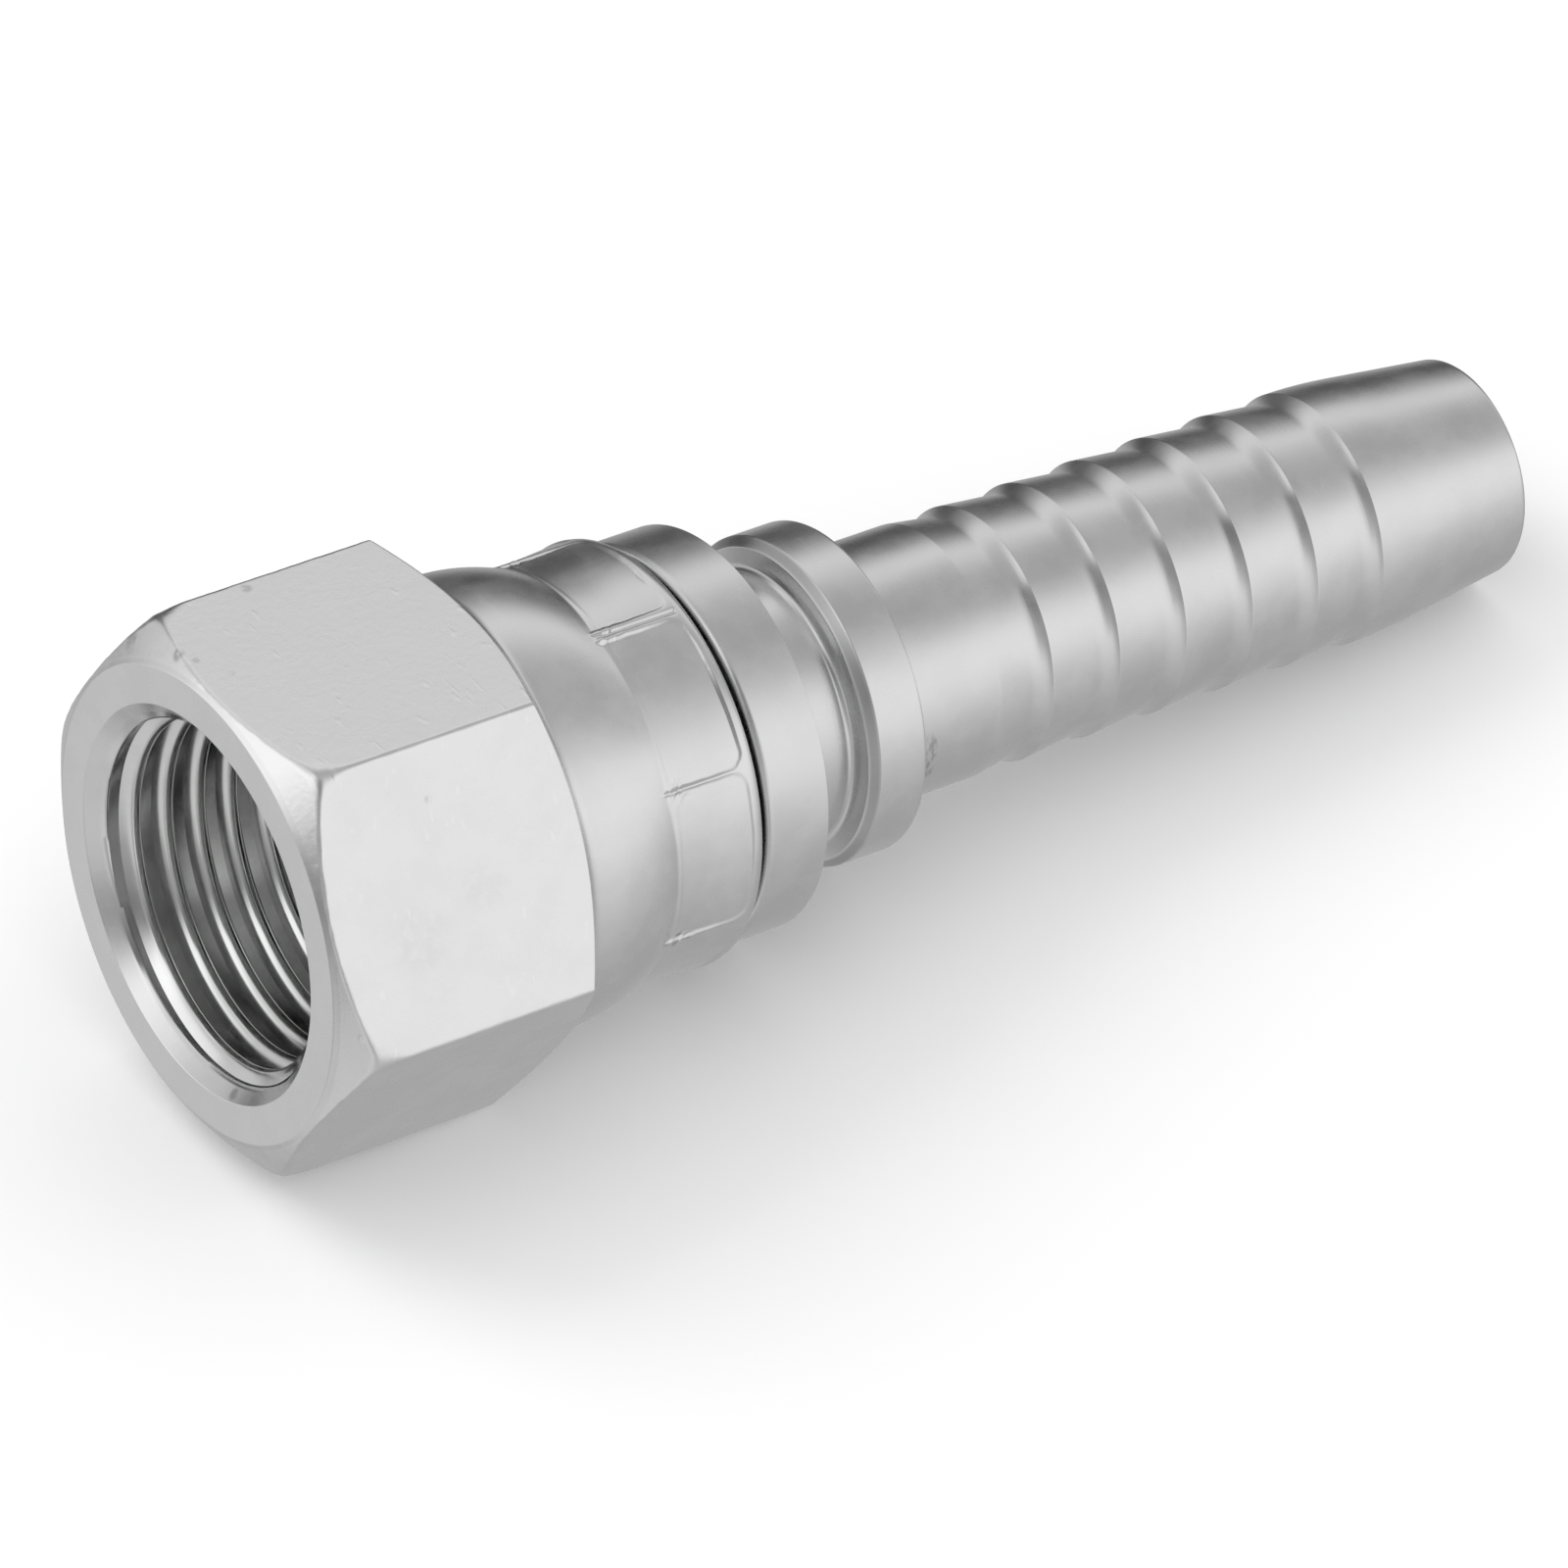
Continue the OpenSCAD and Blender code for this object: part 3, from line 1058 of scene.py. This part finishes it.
# %% [markdown]
# ### Shell and thread as two grids
#
# The shell is everything but the thread, and its grid is as easy as the tail's. The thread's grid has a
# step in it: after one turn its rows stand one pitch further on, so the last column joins the first with
# a shift. The root corners are marked sharp, because smooth shading there would wash out the dark line
# that makes a thread read. A screw modifier could make a helix, but neither the run-out nor the fading
# end.

# %% Grids of the shell and the thread
def shell_columns(builder):
    """The nut's outside and the wall behind the thread, one list of points for each angle."""
    inner, stations = inner_outline(), barrel_stations()
    shell = []
    for degrees in angles:
        barrel = [Vector((x, barrel_radius(x, degrees))) for x in stations]
        outline = inner + barrel + hexagon_outline(degrees)
        shell.append([builder.verts.new(on_axis(x, r, math.radians(degrees))) for x, r in outline])
    for j in range(len(shell)):
        here, there = shell[j], shell[(j + 1) % len(shell)]
        for i in range(len(here) - 1):
            builder.faces.new((here[i], here[i + 1], there[i + 1], there[i]))
    return shell


def thread_columns(builder, thread_angles):
    """The threaded wall. The last column joins the first one turn further on."""
    thread = []
    for degrees in thread_angles:
        stations = [snapped(row + thread_pitch * degrees / 360) for row in rows]
        angle = math.radians(degrees)
        thread.append([builder.verts.new(on_axis(x, thread_radius(x, degrees), angle)) for x in stations])
    for j in range(THREAD_COLUMNS):
        here, there = thread[j], thread[(j + 1) % THREAD_COLUMNS]
        shift = rows_per_turn if j == THREAD_COLUMNS - 1 else 0
        for i in range(len(rows) - 1 - shift):
            builder.faces.new((here[i], here[i + 1], there[i + 1 + shift], there[i + shift]))
            if i % rows_per_turn in root_corners:
                builder.edges.get((here[i], there[i + shift])).smooth = False
    return thread


print("shell", len(angles), "columns, thread", THREAD_COLUMNS, "columns")

# %% [markdown]
# ### Joining them
#
# The shell's columns crowd at edges and seams, and the thread's stand evenly, so the two grids don't
# match. The thread could be left as a sleeve inside the shell, but then the nut would have two open rims.
# A strip of triangles at each end of the thread closes it. The strip steps along whichever ring is behind
# the other.

# %% Build the nut
AFTER_LAST = 999


def angle_of_next(ring_angles, i):
    """Angle of the point after point i, 360 after the last, and far beyond once all are used."""
    if i + 1 < len(ring_angles):
        return ring_angles[i + 1]
    return 360 if i < len(ring_angles) else AFTER_LAST


def stitch(builder, ring, ring_angles, other, other_angles):
    """Joins two rings that have different numbers of points with one strip of triangles."""
    i, j = 0, 0
    while i < len(ring) or j < len(other):
        a, b = ring[i % len(ring)], other[j % len(other)]
        if angle_of_next(ring_angles, i) <= angle_of_next(other_angles, j):
            i += 1
            builder.faces.new((a, ring[i % len(ring)], b))
        else:
            j += 1
            builder.faces.new((a, other[j % len(other)], b))


def build_nut():
    """Shell, thread and the two strips between them as one closed mesh."""
    builder = bmesh.new()
    thread_angles = [360 * j / THREAD_COLUMNS for j in range(THREAD_COLUMNS)]
    shell = shell_columns(builder)
    thread = thread_columns(builder, thread_angles)
    stitch(builder, [c[-1] for c in shell], angles, [c[0] for c in thread], thread_angles)
    stitch(builder, [c[0] for c in shell], angles, [c[-1] for c in thread], thread_angles)
    return shade_and_link("crimped_nut", builder)


nut = build_nut()

# %% [markdown]
# ## The zinc finish
#
# Bright zinc on turned steel is a satin metal: grey, neutral, and blurred a little along the axis by the
# turning marks under it. Photographs of metal could be wrapped round the pieces, but noise that is
# computed from the position needs no unwrapping and has no seam. Positions are turned into millimetres
# first, so that the size of every mark can be read from its numbers.

# %% Noise, ranges and bumps
def noise_at(nodes, links, place, scale, detail=3.0, rough=0.5, stretch=(1, 1, 1)):
    """A noise whose coordinates are in millimetres, stretched by one factor for each axis."""
    mapping = add_node(nodes, "ShaderNodeMapping")
    mapping.inputs["Scale"].default_value = tuple(scale * s / MM for s in stretch)
    links.new(place, mapping.inputs["Vector"])
    noise = add_node(nodes, "ShaderNodeTexNoise")
    noise.inputs["Scale"].default_value = 1
    noise.inputs["Detail"].default_value = detail
    noise.inputs["Roughness"].default_value = rough
    links.new(mapping.outputs["Vector"], noise.inputs["Vector"])
    return noise.outputs["Fac"]


def remap(nodes, links, value, low, high, out_low, out_high):
    """Moves softly from one output to the other while a value goes from low to high."""
    spread = add_node(nodes, "ShaderNodeMapRange", interpolation_type="SMOOTHSTEP")
    for name, number in (("From Min", low), ("From Max", high), ("To Min", out_low), ("To Max", out_high)):
        spread.inputs[name].default_value = number
    links.new(value, spread.inputs["Value"])
    return spread.outputs["Result"]


def times(nodes, links, first, second):
    """The product of two values."""
    product = add_node(nodes, "ShaderNodeMath", operation="MULTIPLY")
    links.new(first, product.inputs[0])
    links.new(second, product.inputs[1])
    return product.outputs["Value"]


def bump_on(nodes, links, height, strength, distance, under=None):
    """A bump of some millimetres on top of another one, if there is one under it."""
    bump = add_node(nodes, "ShaderNodeBump")
    bump.inputs["Strength"].default_value = strength
    bump.inputs["Distance"].default_value = distance * MM
    links.new(height, bump.inputs["Height"])
    if under is not None:
        links.new(under, bump.inputs["Normal"])
    return bump.outputs["Normal"]


print("helpers", noise_at.__name__, remap.__name__, times.__name__, bump_on.__name__)

# %% [markdown]
# ### Masks along and round the axis
#
# Painted shade darkens the recesses: the ferrule groove, the gap behind the nut, and the inside of the
# nut.
# On a turned piece a recess is a span of stations and a span of radii, so two soft bands multiplied
# together find it. Painting a mask by hand would need an unwrapped mesh.

# %% Masks and shading
BAND_SOFT = 0.06


def band_mask(nodes, links, value, low, high, soft):
    """1 where a value in metres lies between two lengths in millimetres, 0 outside, with soft ends."""
    rise = remap(nodes, links, value, (low - soft) * MM, (low + soft) * MM, 0, 1)
    fall = remap(nodes, links, value, (high - soft) * MM, (high + soft) * MM, 1, 0)
    return times(nodes, links, rise, fall)


def station_and_radius(nodes, links, place):
    """Distance along the axis and distance from it, in metres."""
    axes = add_node(nodes, "ShaderNodeSeparateXYZ")
    links.new(place, axes.inputs["Vector"])
    flat = add_node(nodes, "ShaderNodeCombineXYZ")
    links.new(axes.outputs["Y"], flat.inputs["Y"])
    links.new(axes.outputs["Z"], flat.inputs["Z"])
    length = add_node(nodes, "ShaderNodeVectorMath", operation="LENGTH")
    links.new(flat.outputs["Vector"], length.inputs[0])
    return axes.outputs["X"], length.outputs["Value"]


def shaded_where(nodes, links, colour, mask, amount):
    """Multiplies a colour by an amount where the mask is 1. Below 1 it gets darker, above 1 lighter."""
    mix = add_node(nodes, "ShaderNodeMix", data_type="RGBA", blend_type="MULTIPLY")
    links.new(mask, mix.inputs["Factor"])
    links.new(colour, mix.inputs["A"])
    mix.inputs["B"].default_value = (amount, amount, amount, 1)
    return mix.outputs["Result"]


def painted_recess_shade(nodes, links, station, radius, colour, shaded_recesses):
    """Painted shade in recesses, each given by first and last station, least and greatest radius, and how
    dark.
    """
    for first, last, least, greatest, amount in shaded_recesses:
        along = band_mask(nodes, links, station, first, last, BAND_SOFT)
        out = band_mask(nodes, links, radius, least, greatest, BAND_SOFT)
        colour = shaded_where(nodes, links, colour, times(nodes, links, along, out), amount)
    return colour


print("masks", band_mask.__name__, painted_recess_shade.__name__, "soft over", 2 * BAND_SOFT, "mm")

# %% [markdown]
# ### Pits on the nut
#
# The nut has dark pits on its rim and flats. A noise with a threshold would scatter such marks at random,
# but the larger ones in the photograph have a place and a size, so each is written down. The distance
# from its centre makes the mark, and a fine noise makes its edge ragged.

# %% Dark spots
nut_spots = [
    ((-0.9, 6.0, 7.9), 0.6, 0.76),
    ((-0.95, 3.0, 9.4), 0.36, 0.58),
    ((-0.6, 2.3, 9.5), 0.22, 0.8),
    ((0.1, 1.1, 9.5), 0.24, 0.84),
    ((-1.07, -3.1, -6.8), 0.36, 0.6),
    ((3.3, 5.05, 9.5), 0.3, 0.72),
    ((3.85, -6.5, 7.7), 0.24, 0.8),
    ((2.3, -6.1, 8.2), 0.2, 0.85),
    ((2.4, -9.0, 3.5), 1.6, 0.95),
    ((5.4, -8.6, 4.6), 1.4, 0.96),
]
spot_core = 0.35
ragged_edge = (0.36, 0.56)
ragged_least = 0.2


def worn_spots(nodes, links, place, colour, spots):
    """Small dark marks with ragged edges. Each is a centre in millimetres, a size and how dark it is."""
    ragged = noise_at(nodes, links, place, scale=2.2, detail=4)
    ragged = remap(nodes, links, ragged, *ragged_edge, ragged_least, 1)
    for centre, size, amount in spots:
        apart = add_node(nodes, "ShaderNodeVectorMath", operation="DISTANCE")
        apart.inputs[1].default_value = tuple(v * MM for v in centre)
        links.new(place, apart.inputs[0])
        inside = remap(nodes, links, apart.outputs["Value"], spot_core * size * MM, size * MM, 1, 0)
        colour = shaded_where(nodes, links, colour, times(nodes, links, inside, ragged), amount)
    return colour


print(len(nut_spots), "spots on the nut")

# %% [markdown]
# ### The spigot's smudge
#
# The spigot has one small dark rub just behind the second collar, low on the camera's side. It could be
# one more round spot, but a rub is streaky. So a window along, up and across the spigot says where it is,
# and a stretched noise breaks it into streaks.

# %% Smudge on the spigot
smudge_dark = 0.7
smudge_along = (hose_stop + 1.0, hose_stop + 1.5)
smudge_height = (-1.7, 0.6)
smudge_side = (-4, -3)
streak_edge = (0.42, 0.6)
streak_stretch = (5, 2, 2)


def spigot_smudge(nodes, links, place, colour):
    """A streaky dark rub inside a soft window."""
    axes = add_node(nodes, "ShaderNodeSeparateXYZ")
    links.new(place, axes.inputs["Vector"])
    along = band_mask(nodes, links, axes.outputs["X"], *smudge_along, soft=0.1)
    height = band_mask(nodes, links, axes.outputs["Z"], *smudge_height, soft=0.35)
    side = remap(nodes, links, axes.outputs["Y"], smudge_side[0] * MM, smudge_side[1] * MM, 1, 0)
    streaks = noise_at(nodes, links, place, scale=1, stretch=streak_stretch)
    streaks = remap(nodes, links, streaks, *streak_edge, 0, 1)
    smudge = times(nodes, links, times(nodes, links, along, height), times(nodes, links, side, streaks))
    return shaded_where(nodes, links, colour, smudge, smudge_dark)


print("smudge from", round(smudge_along[0], 2), "to", round(smudge_along[1], 2), "mm")

# %% [markdown]
# ### Fine strokes
#
# Tools and other nuts in the bin leave many short scratches on the flats. Nobody would place them one by
# one, so a noise that is stretched in one direction is kept only where it is near its peak. Turned and
# shifted, it serves for a second direction.

# %% Scratches on the flats
stroke_peak = (0.69, 0.79)
stroke_stretch = (2.6, 0.8, 1.0)
stroke_lean = 0.7
stroke_turns = ((0.6, 0.0), (-0.9, 37.0))


def scratch_strokes(nodes, links, place, turn, shift):
    """Sparse short strokes in one direction."""
    mapping = add_node(nodes, "ShaderNodeMapping")
    mapping.inputs["Location"].default_value = (shift, shift, shift)
    mapping.inputs["Rotation"].default_value = (turn, turn * stroke_lean, turn)
    mapping.inputs["Scale"].default_value = tuple(s / MM for s in stroke_stretch)
    links.new(place, mapping.inputs["Vector"])
    noise = add_node(nodes, "ShaderNodeTexNoise")
    noise.inputs["Scale"].default_value = 1
    noise.inputs["Detail"].default_value = 1
    links.new(mapping.outputs["Vector"], noise.inputs["Vector"])
    return remap(nodes, links, noise.outputs["Fac"], *stroke_peak, 0, 1)


print("strokes in", len(stroke_turns), "directions")

# %% [markdown]
# ### What only the nut has
#
# The flats were drawn and not turned, so they have a faint orange peel and the strokes, and their
# colour is lightened a shade as painted light. The thread was cut with a tap and is smoother than the
# rest, and turning marks hardly show in it. Separate materials could do this, but all of it is found by
# radius, so the nut needs only one.

# %% Flats and thread of the nut
flats_band = (9.42, 12)
flats_painted_light = 1.06
thread_band = (6, 7.25)
thread_soft = 0.1
thread_blur = 0.6
thread_rings = 0.15
peel_bump = (0.6, 0.012)
stroke_light = 1.04
stroke_bump = (0.3, 0.02)


def calmer_thread(nodes, links, radius, rings, blur):
    """Turning marks and blur, both multiplied by a share of their own inside the thread."""
    in_thread = band_mask(nodes, links, radius, *thread_band, thread_soft)
    rings = times(nodes, links, rings, remap(nodes, links, in_thread, 0, 1, 1, thread_rings))
    blur = times(nodes, links, blur, remap(nodes, links, in_thread, 0, 1, 1, thread_blur))
    return rings, blur


def flats_with_painted_light(nodes, links, place, radius, colour, normal):
    """Colour and normal with the flats' painted lighter colour, orange peel and strokes."""
    on_flats = band_mask(nodes, links, radius, *flats_band, BAND_SOFT)
    # Painted light: the flats' colour is lightened, which brightens their reflections.
    colour = shaded_where(nodes, links, colour, on_flats, flats_painted_light)
    colour = worn_spots(nodes, links, place, colour, nut_spots)
    peel = noise_at(nodes, links, place, scale=3.2, detail=4, rough=0.6)
    normal = bump_on(nodes, links, times(nodes, links, peel, on_flats), *peel_bump, normal)
    for turn, shift in stroke_turns:
        strokes = times(nodes, links, scratch_strokes(nodes, links, place, turn, shift), on_flats)
        colour = shaded_where(nodes, links, colour, strokes, stroke_light)
        normal = bump_on(nodes, links, strokes, *stroke_bump, normal)
    return colour, normal


print("flats beyond", flats_band[0], "mm, thread from", thread_band[0], "to", thread_band[1], "mm")

# %% [markdown]
# ### Satin zinc
#
# A principled shader set fully metallic gives the metal. A glossy shader would do for one plain shade,
# but this one keeps its sense in other programs too. A noise stretched round the axis makes the turning
# marks, a soft large one clouds the shade and the blur as plating does, and a fine one is the plating's
# grain. Values that are the same all over sit on the shader itself.

# %% Satin zinc
satin = 0.27
smoother = 0.04
duller = 0.05
cloud_dark = 0.94
cloud_shade_edge = (0.35, 0.65)
cloud_blur_edge = (0.3, 0.7)
ring_stretch = (14, 0.25, 0.25)
mark_height = 0.01
grain_bump = 0.02


def clouded_shade(nodes, links, clouds, shade):
    """The piece's shade, a little darker in the clouds."""
    tint = add_node(nodes, "ShaderNodeMix", data_type="RGBA")
    tint.inputs["A"].default_value = tuple(c * cloud_dark for c in shade) + (1,)
    tint.inputs["B"].default_value = tuple(shade) + (1,)
    links.new(remap(nodes, links, clouds, *cloud_shade_edge, 0, 1), tint.inputs["Factor"])
    return tint.outputs["Result"]


def satin_zinc(name, shade, ring_bump, shaded_recesses, threaded_hexagon=False):
    """Zinc over turned steel, with the smudge of the tail or the flats and the thread of the nut."""
    material, nodes, links = new_material(name)
    place = add_node(nodes, "ShaderNodeTexCoord").outputs["Object"]
    station, radius = station_and_radius(nodes, links, place)
    rings = noise_at(nodes, links, place, scale=1, detail=4, stretch=ring_stretch)
    clouds = noise_at(nodes, links, place, scale=0.5, detail=5, rough=0.6)
    grain = noise_at(nodes, links, place, scale=16, detail=2)
    blur = remap(nodes, links, clouds, *cloud_blur_edge, satin - smoother, satin + duller)
    colour = clouded_shade(nodes, links, clouds, shade)
    # Painted shade: the colour is darkened in the recesses, where shade falls.
    colour = painted_recess_shade(nodes, links, station, radius, colour, shaded_recesses)
    if threaded_hexagon:
        rings, blur = calmer_thread(nodes, links, radius, rings, blur)
    normal = bump_on(nodes, links, rings, ring_bump, mark_height)
    normal = bump_on(nodes, links, grain, grain_bump, mark_height, normal)
    if threaded_hexagon:
        colour, normal = flats_with_painted_light(nodes, links, place, radius, colour, normal)
    else:
        colour = spigot_smudge(nodes, links, place, colour)
    metal = add_node(nodes, "ShaderNodeBsdfPrincipled")
    metal.inputs["Metallic"].default_value = 1
    links.new(colour, metal.inputs["Base Color"])
    links.new(blur, metal.inputs["Roughness"])
    links.new(normal, metal.inputs["Normal"])
    output = add_node(nodes, "ShaderNodeOutputMaterial")
    links.new(metal.outputs["BSDF"], output.inputs["Surface"])
    return material


print("roughness about", satin, "and in the thread about", round(satin * thread_blur, 2))

# %% [markdown]
# ## Finishing both pieces
#
# The tail is a touch darker than the nut, and it is turned all over and shows its rings more. Both could
# have one material, but then neither could be changed alone. Shade is painted darker into recesses, spans
# along the axis and out from it: the groove and its rear wall, the gap at the first collar, the head, and
# the nut's rear end and chamber.

# %% Finish both pieces
tail_shade = (0.72, 0.725, 0.72)
nut_shade = (0.74, 0.745, 0.74)
tail_rings = 0.25
nut_rings = 0.15
# Painted shade in the tail's recesses: first and last station, least and greatest radius, how dark.
tail_shaded_recesses = [
    (groove_front + 0.07, groove_rear + 0.03, groove + 0.12, 9, 0.92),
    (groove_rear + 0.05, groove_rear + 0.33, 5, 6.6, 0.62),
    (collar_front - 0.1, collar_front + 0.03, 5, 9, 0.85),
    (head_front - 1, head_shoulder, 3, 7, 0.85),
]
# Painted shade at the nut's rear end and in its chamber, where shade falls.
nut_shaded_recesses = [
    (skirt_end - 0.2, skirt_end + 0.2, 5, 8.05, 0.75),
    (thread_end, crease, 5, 7.2, 0.5),
]
tail_zinc = satin_zinc("tail_zinc", tail_shade, tail_rings, tail_shaded_recesses)
nut_zinc = satin_zinc("nut_zinc", nut_shade, nut_rings, nut_shaded_recesses, threaded_hexagon=True)
tail.data.materials.append(tail_zinc)
nut.data.materials.append(nut_zinc)
print("finishes", tail_zinc.name, nut_zinc.name)

# %% [markdown]
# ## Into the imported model's frame
#
# Each piece takes the place of the plain solid that it was drawn over, and rides on that solid's body.
# Key frames could turn the nut, but only for one motion. On its body it follows every pose, with its
# thread, hexagon and prints.

# %% Put the pieces in the frame
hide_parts("hose_tail")
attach(tail, "tail")
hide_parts("swivel_nut")
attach(nut, "nut")
print(tail.name, "rides on tail,", nut.name, "rides on nut")

# %% [markdown]
# ## Colours as written
#
# The pieces were drawn from the same numbers as the solids. The colours are shown as they are written,
# without a film look.

# %% Show the colours as written
scene = bpy.context.scene
scene.view_settings.view_transform = "Standard"
